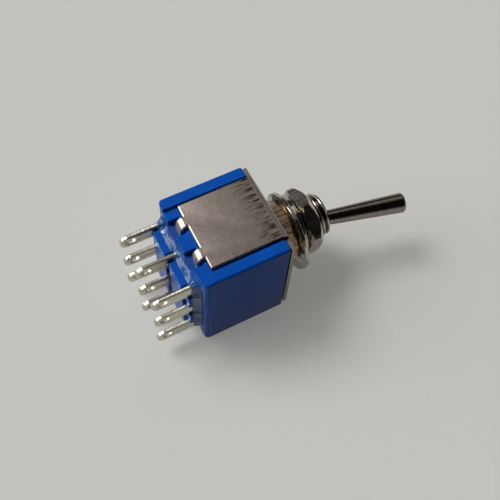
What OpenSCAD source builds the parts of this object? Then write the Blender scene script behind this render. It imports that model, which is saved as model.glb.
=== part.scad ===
// Miniature three-pole, double-throw panel toggle switch.
// The origin is on the bushing's axis, at the front face of the steel frame.
// +X runs along the bushing towards the lever's tip, Y across the throws,
// and +Z across the poles, out of the cheek that faces up.

/* [Case] */
// Width of the case across the throws
case_w = 13.2; // [13.0:0.1:13.6]
// Depth of the case over its rails, across the poles
case_d = 15.8; // [15.7:0.1:16.4]
// Distance from the frame's front face to the end of the case
case_end = 12.1; // [11.8:0.1:12.4]
// Wall thickness of the moulding
case_wall = 0.8; // [0.7:0.05:0.9]
// Radius of the long outer edges
case_round = 0.35; // [0.2:0.05:0.6]
// Radius of the side walls' edges at the terminal end
end_round = 0.8; // [0.4:0.1:1.0]
// Distance between neighbouring poles
pole_pitch = 4.8; // [4.75:0.05:4.85]
// Distance between neighbouring throws
throw_pitch = 4.7; // [4.65:0.05:4.75]

/* [Frame] */
// Thickness of the steel sheet
sheet_t = 0.5; // [0.4:0.05:0.55]
// Width of a cheek
cheek_w = 9.5; // [9.2:0.1:9.8]
// Distance from the front face to a cheek's terminal edge
cheek_l = 10.3; // [9.8:0.1:10.4]
// Outside radius of the bend between front plate and cheek
bend_r = 0.8; // [0.7:0.05:0.9]
// Width of a crimped tab
tab_w = 1.6; // [1.2:0.1:2.0]
// Distance of a tab from the cheek's middle
tab_y = 2.35; // [2.1:0.05:2.6]

/* [Bushing and nuts] */
// Outside diameter of the thread
thread_d = 6.0; // [5.9:0.05:6.0]
// Length of the bushing in front of the frame
bushing_l = 8.1; // [7.8:0.1:9.0]
// Hexagon size across flats
nut_af = 8.0; // [7.8:0.1:8.2]
// Height of a nut
nut_h = 1.9; // [1.7:0.05:1.9]
// Distance from the frame to the back of the outer nut
outer_nut_x = 4.38; // [4.36:0.01:4.44]
// Outside diameter of the keyed washer
keyed_d = 10.85; // [10.5:0.05:11.2]
// Outside diameter of the lock washer
lock_d = 8.8; // [8.5:0.1:9.4]
// Thickness of each washer
washer_t = 0.5; // [0.4:0.05:0.5]
// Teeth of the lock washer
lock_teeth = 12; // [8:1:14]

/* [Lever] */
// Distance from the frame to the lever's ball
pivot_x = 4.0; // [3.9:0.05:4.1]
// Angle between the lever and the bushing's axis at each stop
lever_tilt = 13.2; // [12.5:0.1:13.4]
// Distance from the ball's centre to the lever's tip
lever_l = 15.5; // [14:0.1:17]
// Radius of the lever near its tip
lever_tip_r = 1.37; // [1.2:0.01:1.5]
// Radius of the lever at the bushing's mouth
lever_base_r = 0.98; // [0.9:0.01:1.02]
// Radius of the lever's ball
ball_r = 1.8; // [1.75:0.01:1.8]

/* [Solder lugs] */
// Width of a lug
lug_w = 2.0; // [1.8:0.1:2.1]
// Thickness of a lug
lug_t = 0.5; // [0.45:0.05:0.8]
// Distance from the frame's front face to the lugs' tips
lug_end = 18.1; // [17:0.1:19]
// Width of the slotted solder hole
hole_w = 0.9; // [0.8:0.05:1.2]
// Length of the slotted solder hole
hole_l = 1.4; // [1.2:0.1:1.8]
// Distance from the middle of that hole to the lug's tip
hole_in = 1.4; // [1.3:0.1:2.4]

/* [Contacts] */
// Angle that a rocker leans at each stop
rocker_tilt = 6.0; // [5.8:0.1:6.2]
// Distance from the frame's front face to the rockers' fulcrums
fulcrum_x = 6.7; // [6.7:0.01:6.75]
// Distance from the ball's centre to a plunger's tip
plunger_reach = 10.0; // [9.95:0.01:10.0]

/* [Hidden] */
$fn = 64;
eps = 0.01;            // overshoot of a cut
fit = 0.02;            // clearance between pieces that are pushed together
run = 0.05;            // running clearance of what turns or slides

// case
case_y = case_w / 2;
rail_z = case_d / 2;                      // top of the side rails
channel_z = rail_z - 0.42;                // floor of the channel that a cheek lies in
channel_y = cheek_w / 2 + 0.28;           // half width of that channel
case_front = sheet_t + 0.2;               // the moulding starts just behind the front plate
cavity_y = case_y - case_wall;
cavity_z = channel_z - case_wall;
base_in = 8.7;                            // inner face of the base that carries the lugs
base_out = 10.9;                          // outer face of that base
divider_t = 0.6;                          // thickness of the walls between poles
divider_top = 4.95;                       // where those walls end, clear of the actuator
rib_end = 14.0;                           // end of the ribs between the lug columns
rib_w = 3.4;                              // width of those ribs
rib_z = 5.5;                              // half length of those ribs
bar_end = 13.6;                           // end of the bars between the poles' lugs
bar_w = 2.5;                              // width of those bars
bar_y = 5.25;                             // outer end of those bars
bar_from = throw_pitch / 2 + rib_w / 2 - eps;    // they start in a rib's flank

// frame
cheek_z = channel_z + 0.1 + sheet_t;      // outer face of a cheek
plate_y = case_y - 0.13;                  // half width of the front plate
plate_z = cheek_z - bend_r;               // half height of its flat part
tab_r = 0.9;                              // outside radius of a tab's curl
tab_curl_x = cheek_l + 0.15;              // centre of that curl
tab_tip_z = 6.8;                          // height where a tab ends
notch_x = tab_curl_x + tab_r - sheet_t - 0.05;   // end of the case wall under a tab
notch_w = tab_w + 0.8;
notch_deep = 0.3;                         // how far a notch cuts below the case wall
notch_chamfer = 0.45;

// bushing
thread_r = thread_d / 2;
shank_r = 2.85;                           // part inside the front plate
socket_r = ball_r + run;                  // wall of the ball's socket
throat_r = 1.45;                          // narrowest place, in front of the ball
mouth_r = 2.2;                            // opening at the front
stake_t = 0.16;                           // thickness of the staked rim behind the plate
stake_w = 0.5;                            // width of that rim
flare_x = 0.6;                            // the socket widens from here towards the case
end_chamfer = [0.3, 0.35];                // along and across the end of the thread
keyway_w = 1.2;
keyway_r = 2.45;                          // depth of the keyway, as a radius
pin_r = 0.5;                              // cross pin of the ball
pin_l = 2.15;                             // half length of that pin
inner_nut_turn = 6.5;                     // how each nut happens to stand
outer_nut_turn = 35.5;
nut_bore_r = thread_r + run;
bore_chamfer = 0.3;
inner_nut_x = 0.7;                        // it is screwed on loosely, short of the front plate
nut_face = 0.12;                          // front face and back face of a nut, inside its flats
nut_back = 0.05;
keyed_x = 2.88;                           // middle of the keyed washer
keyed_bore_r = thread_r + 0.52;
keyed_off = [-0.36, -0.32];               // it hangs off the axis of the thread
lock_x = 3.72;                            // middle of the lock washer
lock_bore_r = thread_r + 0.25;
lock_off = [-0.14, -0.12];
lock_lean = -3.8;                         // it hangs askew too
key_fit = 0.2;                            // clearance of the key in the keyway
tooth_root_r = 3.85;                      // lock washer's teeth start here
tooth_w = 1.1;
tooth_twist = 14;                         // each tooth stands askew by this angle
tooth_t = 0.8 * washer_t;
tooth_l = 0.3;                            // length of a tooth inside the ring

// lever and actuator, along the lever's own axis from the ball's centre
lever_in = 6.2;                           // inner end of the lever
stem_r = 0.9;                             // radius of the lever inside the case
stem_chamfer = 0.15;
neck_l = 4.1;                             // the lever starts to widen at this distance
tip_round = 0.45;
carrier_top = 5.3;                        // actuator, end next to the frame
carrier_end = 8.2;
carrier_y = 1.5;
carrier_z = pole_pitch + 1.35;             // half length of the actuator across the poles
boss_r = 1.25;                            // bosses that guide the plungers
boss_end = 8.9;
guide_r = 0.78;                           // bore for plunger and spring
guide_top = 6.5;
plunger_r = guide_r - run;
plunger_top = 7.75;
plunger_tip_r = 0.6;
plunger_taper = 0.15;                     // height of the taper above the rounded tip
spring_r = 0.58;                          // middle radius of a spring
spring_wire = 0.09;                       // radius of its wire
spring_turns = 3;

// contacts
bead_r = lug_t / 2;                       // rounded top of a middle lug
saddle_r = bead_r + 0.04;                 // groove of the rocker on that top
dish_r = 5.0;                             // radius of the rocker's dished middle
dish_y = 2.6;                             // half width of the dish
rocker_t = 0.4;                           // thickness of the blade
rocker_top = 0.65;                        // blade's upper face above the fulcrum
crest_y = 3.2;                            // where an arm turns down
arm_y = 5.2;                              // end of an arm
arm_top = 0.75;                           // upper face there, above the fulcrum
button_y = 4.6;                           // contact button under an arm
button_r = 0.7;
button_top = 0.65;                        // the button reaches up into the arm
blade_w = 2.4;
waist_y = 0.8;                            // the blade is narrow where it sits between the horns
waist_w = 1.24;
horn_z = 0.72;                            // inner face of a middle lug's horns
horn_top = 0.9;                           // their height above the fulcrum
pad_x = fulcrum_x + 0.56;                 // top of the outer lugs' contact pads
pad_y = 1.6;
pad_t = 0.4;
hole_x = lug_end - hole_in;                 // middle of the solder hole

seal_x = 11.95;                           // level of the sealing resin at the case walls
bank_x = 13.2;                            // height that it climbs to on ribs and lugs
bank_lip = 0.1;
rib_bank = 1.1;                           // how far that bank reaches from a rib, and from a lug
lug_bank = 0.75;

// ---- helpers ----

// box between two corners
module block(low, high) {
  translate(low) cube(high - low);
}

// cylinder along X from x0 to x1
module rod_x(r, x0, x1) {
  translate([x0, 0, 0]) rotate([0, 90, 0]) cylinder(r = r, h = x1 - x0);
}

// children in the lever's own frame, with its ball at the origin
module on_lever() {
  translate([pivot_x, 0, 0]) rotate([0, 0, -lever_tilt]) children();
}

// children in a rocker's frame, with its fulcrum at the origin
module on_rocker(pole) {
  translate([-fulcrum_x, 0, pole_z(pole)]) rotate([0, 0, rocker_tilt]) children();
}

// height of a pole's plane, pole 1 at the top
function pole_z(pole) = (2 - pole) * pole_pitch;

// both cheeks' sides, one mirrored
module both_cheeks() {
  children();
  mirror([0, 0, 1]) children();
}

// ---- case ----

// cross-section of the case: rounded block with a channel for each cheek
module case_outline() {
  difference() {
    union() {
      square([case_w - 2 * case_round, case_d], center = true);
      square([case_w, case_d - 2 * case_round], center = true);
      for (y = [-1, 1], z = [-1, 1])
        translate([y * (case_y - case_round), z * (rail_z - case_round)]) circle(r = case_round);
    }
    for (z = [-1, 1])
      translate([0, z * (channel_z + 1)]) square([2 * channel_y, 2], center = true);
  }
}

// plan of the case, with its edges at the terminal end rounded
module case_plan() {
  translate([-case_end + end_round, -case_y]) square([case_end, case_w]);
  translate([-case_end, -case_y + end_round]) square([case_end, case_w - 2 * end_round]);
  for (y = [-1, 1]) translate([-case_end + end_round, y * (case_y - end_round)]) circle(r = end_round);
}

module housing() {
  color([0, 0.28, 0.66])
  difference() {
    union() {
      difference() {
        intersection() {
          translate([-case_front, 0, 0]) rotate([0, -90, 0]) rotate([0, 0, 90])
            linear_extrude(height = case_end - case_front) case_outline();
          translate([0, 0, -rail_z - 1]) linear_extrude(height = case_d + 2) case_plan();
        }
        block([-base_in, -cavity_y, -cavity_z], [0, cavity_y, cavity_z]);
        block([-case_end - 1, -cavity_y, -cavity_z], [-base_out, cavity_y, cavity_z]);
        both_cheeks() for (y = [-tab_y, tab_y])
          block([-case_end - 1, y - notch_w / 2, cavity_z - notch_deep], [-notch_x, y + notch_w / 2, rail_z]);
        both_cheeks() for (y = [-tab_y, tab_y])
          translate([-notch_x, y, channel_z]) rotate([90, 45, 0])
            cube([notch_chamfer, notch_chamfer, notch_w], center = true);
      }
      for (z = [-1, 1])
        block([-base_in - eps, -cavity_y - eps, z * pole_pitch / 2 - divider_t / 2],
              [-divider_top, cavity_y + eps, z * pole_pitch / 2 + divider_t / 2]);
      for (y = [-1, 1]) column_rib(y * throw_pitch / 2);
      for (y = [-1, 1], z = [-1, 1]) pole_bar(y, z, 0);
    }
    for (pole = [1:3], throw = [-1:1])
      block([-base_out - 1, throw * throw_pitch - lug_t / 2 - fit, pole_z(pole) - lug_w / 2 - fit],
            [-base_in + 1, throw * throw_pitch + lug_t / 2 + fit, pole_z(pole) + lug_w / 2 + fit]);
  }
}

// rib between two columns of lugs
module column_rib(y) {
  block([-rib_end, y - rib_w / 2, -rib_z], [-base_out + eps, y + rib_w / 2, rib_z]);
}

// bar between the outer lugs of two poles, from a rib towards the case wall
module pole_bar(side_y, side_z, gap) {
  mirror([0, side_y < 0 ? 1 : 0, 0]) mirror([0, 0, side_z < 0 ? 1 : 0])
    block([-bar_end, bar_from - gap, pole_pitch / 2 - bar_w / 2 - gap],
          [-base_out + eps, bar_y + gap, pole_pitch / 2 + bar_w / 2 + gap]);
}

// ---- steel frame ----

// side view of the sheet: plate, bend and cheek, and the curl of a tab
module sheet_bend(centre, r, quadrant) {
  translate(centre) intersection() {
    difference() {
      circle(r = r);
      circle(r = r - sheet_t);
    }
    translate([quadrant < 0 ? -r : 0, 0]) square(r);
  }
}

module across_y(width) {
  rotate([90, 0, 0]) translate([0, 0, -width / 2]) linear_extrude(height = width) children();
}

module frame() {
  color([0.62, 0.58, 0.54])
  difference() {
    union() {
      block([-sheet_t, -plate_y, -plate_z], [0, plate_y, plate_z]);
      both_cheeks() {
        across_y(cheek_w) {
          sheet_bend([-bend_r, plate_z], bend_r, 1);
          translate([-cheek_l, cheek_z - sheet_t]) square([cheek_l - bend_r, sheet_t]);
        }
        for (y = [-tab_y, tab_y]) translate([0, y, 0]) across_y(tab_w) {
          translate([-tab_curl_x, cheek_z - sheet_t]) square([tab_curl_x - cheek_l + eps, sheet_t]);
          sheet_bend([-tab_curl_x, cheek_z - tab_r], tab_r, -1);
          translate([-tab_curl_x - tab_r, tab_tip_z]) square([sheet_t, cheek_z - tab_r - tab_tip_z]);
        }
      }
    }
    rod_x(shank_r + fit, -sheet_t - 1, 1);
  }
}

// ---- bushing, nuts and washers ----

module bushing() {
  seat_x = sqrt(socket_r * socket_r - throat_r * throat_r);
  color([0.78, 0.76, 0.72])
  difference() {
    union() {
      rod_x(shank_r, -sheet_t - stake_t, 0);
      rod_x(shank_r + stake_w, -sheet_t - stake_t, -sheet_t);
      rod_x(thread_r, 0, bushing_l - end_chamfer[0]);
      translate([bushing_l - end_chamfer[0], 0, 0]) rotate([0, 90, 0])
        cylinder(r1 = thread_r, r2 = thread_r - end_chamfer[1], h = end_chamfer[0]);
    }
    rod_x(socket_r, -2, pivot_x);
    translate([-sheet_t - stake_t - eps, 0, 0]) rotate([0, 90, 0])
      cylinder(r1 = mouth_r, r2 = socket_r, h = flare_x + sheet_t + stake_t + eps);
    intersection() {
      translate([pivot_x, 0, 0]) sphere(r = socket_r);
      rod_x(socket_r, pivot_x - eps, pivot_x + seat_x);
    }
    translate([pivot_x + seat_x - eps, 0, 0]) rotate([0, 90, 0])
      cylinder(r1 = throat_r, r2 = mouth_r, h = bushing_l - pivot_x - seat_x + 2 * eps);
    block([-2, -pin_r - fit, -pin_l - fit], [pivot_x, pin_r + fit, pin_l + fit]);
    translate([pivot_x, 0, -pin_l - fit]) cylinder(r = pin_r + fit, h = 2 * (pin_l + fit));
    block([0, keyway_r, -keyway_w / 2], [bushing_l + 1, thread_r + 1, keyway_w / 2]);
  }
}

// hexagon nut standing on x = 0, its corners cut steeply in front and more gently behind
module nut(turn) {
  corner_r = nut_af / sqrt(3);
  face_r = nut_af / 2 - nut_face;
  back_r = nut_af / 2 - nut_back;
  front = corner_r - face_r;
  back = (corner_r - back_r) * tan(30);
  difference() {
    intersection() {
      rotate([turn, 0, 0]) rotate([0, 90, 0]) rotate([0, 0, 90]) cylinder(r = corner_r, h = nut_h, $fn = 6);
      union() {
        rod_x(corner_r + eps, back, nut_h - front);
        rotate([0, 90, 0]) cylinder(r1 = back_r, r2 = corner_r + eps, h = back);
        translate([nut_h - front, 0, 0]) rotate([0, 90, 0])
          cylinder(r1 = corner_r + eps, r2 = face_r, h = front);
      }
    }
    rod_x(nut_bore_r, -1, nut_h + 1);
    for (side = [0, 1]) translate([side * nut_h, 0, 0]) mirror([side, 0, 0]) rotate([0, 90, 0])
      translate([0, 0, -eps]) cylinder(r1 = nut_bore_r + bore_chamfer, r2 = nut_bore_r, h = bore_chamfer);
  }
}

module inner_nut() {
  color([0.72, 0.68, 0.62]) translate([inner_nut_x, 0, 0]) nut(inner_nut_turn);
}

module outer_nut() {
  color([0.72, 0.70, 0.68]) translate([outer_nut_x, 0, 0]) nut(outer_nut_turn);
}

module keyed_washer() {
  key_from = keyway_r + key_fit - keyed_off[0];
  key_turn = asin(-keyed_off[1] / keyed_bore_r);    // the key still stands in the middle of the keyway
  color([0.75, 0.74, 0.72])
  translate([keyed_x, keyed_off[0], keyed_off[1]]) rotate([key_turn, 0, 0])
  union() {
    difference() {
      rod_x(keyed_d / 2, -washer_t / 2, washer_t / 2);
      rod_x(keyed_bore_r, -1, 1);
    }
    block([-washer_t / 2, key_from, -keyway_w / 2 + key_fit],
          [washer_t / 2, keyed_bore_r + key_fit, keyway_w / 2 - key_fit]);
  }
}

module lock_washer() {
  color([0.7, 0.69, 0.67])
  translate([lock_x, lock_off[0], lock_off[1]]) rotate([0, 0, lock_lean])
  union() {
    difference() {
      rod_x(lock_d / 2, -washer_t / 2, washer_t / 2);
      rod_x(tooth_root_r, -1, 1);
    }
    for (i = [0:lock_teeth - 1]) rotate([(i + 0.5) * 360 / lock_teeth, 0, 0])
      translate([0, (lock_bore_r + tooth_root_r + tooth_l) / 2, 0]) rotate([0, tooth_twist, 0])
        cube([tooth_t, tooth_root_r + tooth_l - lock_bore_r, tooth_w], center = true);
  }
}

// ---- lever, pin and actuator ----

// half outline of the lever along its axis; the ball is added apart
module lever_outline() {
  full = lever_l - tip_round;
  polygon([[0, 0], [stem_r, 0], [stem_r, -lever_in + stem_chamfer], [stem_r - stem_chamfer, -lever_in],
           [0, -lever_in]]);
  polygon([[0, 0], [lever_base_r, 0], [lever_base_r, neck_l], [lever_tip_r, full], [0, full]]);
  translate([lever_tip_r - tip_round, full]) circle(r = tip_round);
  translate([0, full - eps]) square([lever_tip_r - tip_round, tip_round + eps]);
}

module lever() {
  color([0.3, 0.28, 0.28]) on_lever()
  difference() {
    union() {
      rotate([0, 90, 0]) rotate_extrude() lever_outline();
      sphere(r = ball_r);
    }
    cylinder(r = pin_r + fit, h = 2 * ball_r + 1, center = true);
  }
}

module pivot_pin() {
  color([0.6, 0.6, 0.6]) on_lever() cylinder(r = pin_r, h = 2 * pin_l, center = true);
}

module actuator() {
  color([0.93, 0.92, 0.86]) on_lever()
  difference() {
    union() {
      block([-carrier_end, -carrier_y, -carrier_z], [-carrier_top, carrier_y, carrier_z]);
      for (pole = [1:3]) translate([0, 0, pole_z(pole)]) rod_x(boss_r, -boss_end, -carrier_end + eps);
    }
    rod_x(stem_r + fit, -lever_in - 0.05, 0);
    for (pole = [1:3]) translate([0, 0, pole_z(pole)]) rod_x(guide_r, -boss_end - 1, -guide_top);
  }
}

module plunger(pole) {
  color([0.86, 0.72, 0.42]) on_lever() translate([0, 0, pole_z(pole)])
  union() {
    rod_x(plunger_r, -plunger_reach + plunger_tip_r + plunger_taper, -plunger_top);
    translate([-plunger_reach + plunger_tip_r, 0, 0]) rotate([0, 90, 0])
      cylinder(r1 = plunger_tip_r, r2 = plunger_r, h = plunger_taper + eps);
    translate([-plunger_reach + plunger_tip_r, 0, 0]) sphere(r = plunger_tip_r);
  }
}

// compression spring behind a plunger, as a twisted stack of turns
module spring(pole) {
  length = plunger_top - guide_top - 2 * fit;
  color([0.8, 0.8, 0.82]) on_lever() translate([-guide_top - fit, 0, pole_z(pole)]) rotate([0, -90, 0])
    coil(spring_r, spring_wire, length, spring_turns);
}

// helical wire: one tube section swept round the axis
module coil(r, wire, length, turns) {
  steps = 20;
  sides = 8;
  rings = steps * turns;
  rise = (length - 2 * wire) / rings;
  ring = function (i) [for (k = [0:sides - 1])
    let (a = 360 * i / steps, b = 360 * k / sides, d = r + wire * cos(b))
    [d * cos(a), d * sin(a), wire + i * rise + wire * sin(b)]];
  points = [for (i = [0:rings]) each ring(i)];
  walls = [for (i = [0:rings - 1], k = [0:sides - 1])
    let (a = i * sides + k, b = i * sides + (k + 1) % sides) [a, a + sides, b + sides, b]];
  first = [for (k = [0:sides - 1]) k];
  last = [for (k = [sides - 1:-1:0]) rings * sides + k];
  polyhedron(points, concat(walls, [first], [last]));
}

// ---- contacts ----

// side view of a rocker: dished middle on its fulcrum, and two arms that turn down
module rocker_outline() {
  centre = rocker_top + dish_r;
  outer_r = dish_r + rocker_t;
  rim_top = centre - sqrt(dish_r * dish_r - dish_y * dish_y);
  rim_low = centre - sqrt(outer_r * outer_r - dish_y * dish_y);
  intersection() {
    translate([centre, 0]) difference() {
      circle(r = outer_r, $fn = 180);
      circle(r = dish_r, $fn = 180);
    }
    translate([0, -dish_y]) square([rim_top + 0.2, 2 * dish_y]);
  }
  for (side = [-1, 1]) polygon([
    [rim_low, side * (dish_y - eps)], [rim_top, side * (dish_y - eps)],
    [rim_top, side * crest_y], [arm_top, side * arm_y],
    [arm_top - rocker_t, side * arm_y], [rim_low, side * crest_y]]);
}

module rocker(pole) {
  color([0.85, 0.84, 0.8]) on_rocker(pole)
  difference() {
    union() {
      translate([0, 0, -blade_w / 2]) linear_extrude(height = blade_w) rocker_outline();
      for (side = [-1, 1]) translate([0, side * button_y, 0]) rod_x(button_r, fit, button_top);
    }
    cylinder(r = saddle_r, h = blade_w + 2, center = true);
    for (side = [-1, 1])
      block([-1, -waist_y, side * (waist_w / 2 + 1) - 1], [rocker_top + 1, waist_y, side * (waist_w / 2 + 1) + 1]);
  }
}

// flat lug with a rounded tip and a slotted hole, seen from its broad side
module lug_outline(top) {
  tip = lug_w / 2;
  difference() {
    union() {
      translate([-lug_end + tip, -tip]) square([lug_end - tip - top, lug_w]);
      translate([-lug_end + tip, 0]) circle(r = tip);
    }
    for (end = [-1, 1]) translate([-hole_x + end * (hole_l - hole_w) / 2, 0]) circle(r = hole_w / 2);
    translate([-hole_x, 0]) square([hole_l - hole_w, hole_w], center = true);
  }
}

// a lug of one pole, throw -1, 0 or 1; the middle one carries the rocker
module terminal(pole, throw) {
  color([0.83, 0.81, 0.76]) translate([0, throw * throw_pitch, pole_z(pole)])
  union() {
    across_y(lug_t) lug_outline(throw == 0 ? fulcrum_x : pad_x);
    if (throw == 0) {
      translate([-fulcrum_x, 0, 0]) cylinder(r = bead_r, h = 2 * horn_z, center = true);
      for (side = [-1, 1])
        block([-fulcrum_x - eps, -bead_r, side * (horn_z + lug_w / 2) / 2 - (lug_w / 2 - horn_z) / 2],
              [-fulcrum_x + horn_top, bead_r, side * (horn_z + lug_w / 2) / 2 + (lug_w / 2 - horn_z) / 2]);
    } else {
      block([-pad_x - pad_t, -pad_y / 2, -lug_w / 2], [-pad_x, pad_y / 2, lug_w / 2]);
    }
  }
}

// clear resin climbing what stands in it, from its level at the case walls
module resin_bank(y, z, half_y, half_z, reach) {
  hull() {
    block([-seal_x, y - half_y - reach, z - half_z - reach],
          [-seal_x + eps, y + half_y + reach, z + half_z + reach]);
    block([-bank_x, y - half_y - bank_lip, z - half_z - bank_lip],
          [-bank_x + eps, y + half_y + bank_lip, z + half_z + bank_lip]);
  }
}

module terminal_seal() {
  color([0.6, 0.75, 0.95, 0.5])
  difference() {
    intersection() {
      union() {
        block([-seal_x, -case_y, -rail_z], [-base_out - fit, case_y, rail_z]);
        for (y = [-1, 1]) resin_bank(y * throw_pitch / 2, 0, rib_w / 2, rib_z, rib_bank);
        for (pole = [1:3], throw = [-1:1])
          resin_bank(throw * throw_pitch, pole_z(pole), lug_t / 2, lug_w / 2, lug_bank);
      }
      block([-bank_x - 1, -cavity_y + fit, -cavity_z + fit], [0, cavity_y - fit, cavity_z - fit]);
    }
    for (y = [-1, 1])
      block([-bank_x - 1, y * throw_pitch / 2 - rib_w / 2 - fit, -rib_z - fit],
            [-base_out + 1, y * throw_pitch / 2 + rib_w / 2 + fit, rib_z + fit]);
    for (y = [-1, 1], z = [-1, 1]) pole_bar(y, z, fit);
    for (pole = [1:3], throw = [-1:1])
      block([-bank_x - 1, throw * throw_pitch - lug_t / 2 - fit, pole_z(pole) - lug_w / 2 - fit],
            [-base_out + 1, throw * throw_pitch + lug_t / 2 + fit, pole_z(pole) + lug_w / 2 + fit]);
  }
}

housing();
frame();
bushing();
inner_nut();
outer_nut();
keyed_washer();
lock_washer();
lever();
pivot_pin();
actuator();
plunger(1);  // plunger_1
plunger(2);  // plunger_2
plunger(3);  // plunger_3
spring(1);  // spring_1
spring(2);  // spring_2
spring(3);  // spring_3
rocker(1);  // rocker_1
rocker(2);  // rocker_2
rocker(3);  // rocker_3
terminal(1, 1);  // terminal_1a
terminal(1, 0);  // terminal_1b
terminal(1, -1);  // terminal_1c
terminal(2, 1);  // terminal_2a
terminal(2, 0);  // terminal_2b
terminal(2, -1);  // terminal_2c
terminal(3, 1);  // terminal_3a
terminal(3, 0);  // terminal_3b
terminal(3, -1);  // terminal_3c
terminal_seal();
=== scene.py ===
import math

import bmesh
import bpy
from mathutils import Matrix, Vector


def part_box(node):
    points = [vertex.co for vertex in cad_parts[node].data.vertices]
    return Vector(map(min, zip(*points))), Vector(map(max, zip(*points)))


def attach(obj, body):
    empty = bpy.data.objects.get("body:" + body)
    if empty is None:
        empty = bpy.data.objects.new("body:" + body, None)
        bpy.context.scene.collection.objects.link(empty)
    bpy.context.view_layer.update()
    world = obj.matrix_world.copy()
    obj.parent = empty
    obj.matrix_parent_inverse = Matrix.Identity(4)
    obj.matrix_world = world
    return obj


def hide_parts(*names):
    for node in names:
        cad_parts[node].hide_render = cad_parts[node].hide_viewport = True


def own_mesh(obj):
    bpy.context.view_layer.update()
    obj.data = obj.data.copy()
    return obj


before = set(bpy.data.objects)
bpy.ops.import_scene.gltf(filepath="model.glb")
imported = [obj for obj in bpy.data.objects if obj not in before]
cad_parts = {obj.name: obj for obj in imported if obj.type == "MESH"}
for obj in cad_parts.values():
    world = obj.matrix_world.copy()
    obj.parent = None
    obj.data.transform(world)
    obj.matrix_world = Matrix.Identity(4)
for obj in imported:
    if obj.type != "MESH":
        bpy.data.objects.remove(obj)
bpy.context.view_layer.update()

bl_info = {
    "name": "Miniature toggle switch",
    "version": (1, 0, 0),
    "blender": (4, 2, 0),
    "location": "3D View > Sidebar > Toggle Switch",
    "description": "Finishes the frame of a panel toggle switch with its visible pieces and materials",
    "category": "Object",
}

MM = 0.001
POLES = (1, 2, 3)
LUGS = [f"terminal_{pole}{throw}" for pole in POLES for throw in "abc"]


# ---- values that a user would change ----

class SwitchSizes(bpy.types.PropertyGroup):
    """Sizes of the visible pieces, in metres"""
    pitch: bpy.props.FloatProperty(
        name="Thread pitch", description="Distance between neighbouring threads of the neck",
        default=0.75 * MM, min=0.4 * MM, max=1.2 * MM, precision=6, unit="LENGTH")
    thread_depth: bpy.props.FloatProperty(
        name="Thread depth", description="Height of a thread over its root",
        default=0.42 * MM, min=0.2 * MM, max=0.5 * MM, precision=6, unit="LENGTH")
    moulded_edge: bpy.props.FloatProperty(
        name="Moulded edge", description="Radius left along the edges of the moulding",
        default=0.09 * MM, min=0.02 * MM, max=0.3 * MM, precision=6, unit="LENGTH")
    sheet_edge: bpy.props.FloatProperty(
        name="Sheet edge", description="Radius along the edges of stamped sheet",
        default=0.1 * MM, min=0.01 * MM, max=0.15 * MM, precision=6, unit="LENGTH")
    rolled_edge: bpy.props.FloatProperty(
        name="Rolled edge", description="Radius that the punch leaves along a cheek's outer edges",
        default=0.2 * MM, min=0.02 * MM, max=0.25 * MM, precision=6, unit="LENGTH")
    lug_edge: bpy.props.FloatProperty(
        name="Lug edge", description="Radius along the edges of a tinned lug",
        default=0.045 * MM, min=0.02 * MM, max=0.2 * MM, precision=6, unit="LENGTH")
    resin_level: bpy.props.FloatProperty(
        name="Resin level", description="Distance from the frame's front to the flat of the resin",
        default=11.95 * MM, min=11.5 * MM, max=12.3 * MM, precision=6, unit="LENGTH")
    resin_climb: bpy.props.FloatProperty(
        name="Resin climb", description="Height that the resin climbs up the ribs and lugs",
        default=1.2 * MM, min=0.2 * MM, max=1.25 * MM, precision=6, unit="LENGTH")


def hex_colour(code):
    """sRGB hex digits as a linear colour with alpha."""
    parts = [int(code[i:i + 2], 16) / 255 for i in (0, 2, 4)]
    return tuple(p / 12.92 if p <= 0.04045 else ((p + 0.055) / 1.055) ** 2.4 for p in parts) + (1.0,)


def colour_property(label, text, code):
    return bpy.props.FloatVectorProperty(
        name=label, description=text, default=hex_colour(code), size=4, min=0, max=1, subtype="COLOR")


class SwitchColours(bpy.types.PropertyGroup):
    """Base colours of the finishes"""
    nylon: colour_property("Blue nylon", "Colour of the moulded case", "004AA6")
    sheet: colour_property("Sheet steel", "Colour of the folded frame", "9A908A")
    nickel: colour_property("Nickel", "Colour of the bright plated pieces", "CFC8BC")
    brass: colour_property("Worn brass", "Colour of the inner nut, where brass shows", "98846A")
    lever: colour_property("Dark nickel", "Colour of the lever", "8C817B")
    tin: colour_property("Tin", "Colour of the solder lugs", "D2CDBD")
    floor: colour_property("Floor", "Colour of the ground that the switch lies on", "C8C8C4")


# ---- meshes ----

def new_piece(name, mesh, body, material, nodes, crease=None):
    """Links a mesh as a piece that rides on a body and stands for its nodes.

    Edges sharper than crease, in degrees, stay sharp.
    """
    piece = bpy.data.objects.new(name, mesh)
    bpy.context.scene.collection.objects.link(piece)
    mesh.materials.clear()
    mesh.materials.append(material)
    if crease is not None:
        mesh.shade_smooth()
        mesh.set_sharp_from_angle(angle=math.radians(crease))
    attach(piece, body)
    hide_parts(*nodes)
    return piece


def finished_mesh(bm, name):
    """Turns a bmesh into a mesh, with every face's front outside."""
    bmesh.ops.recalc_face_normals(bm, faces=bm.faces)
    mesh = bpy.data.meshes.new(name)
    bm.to_mesh(mesh)
    bm.free()
    return mesh


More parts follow.
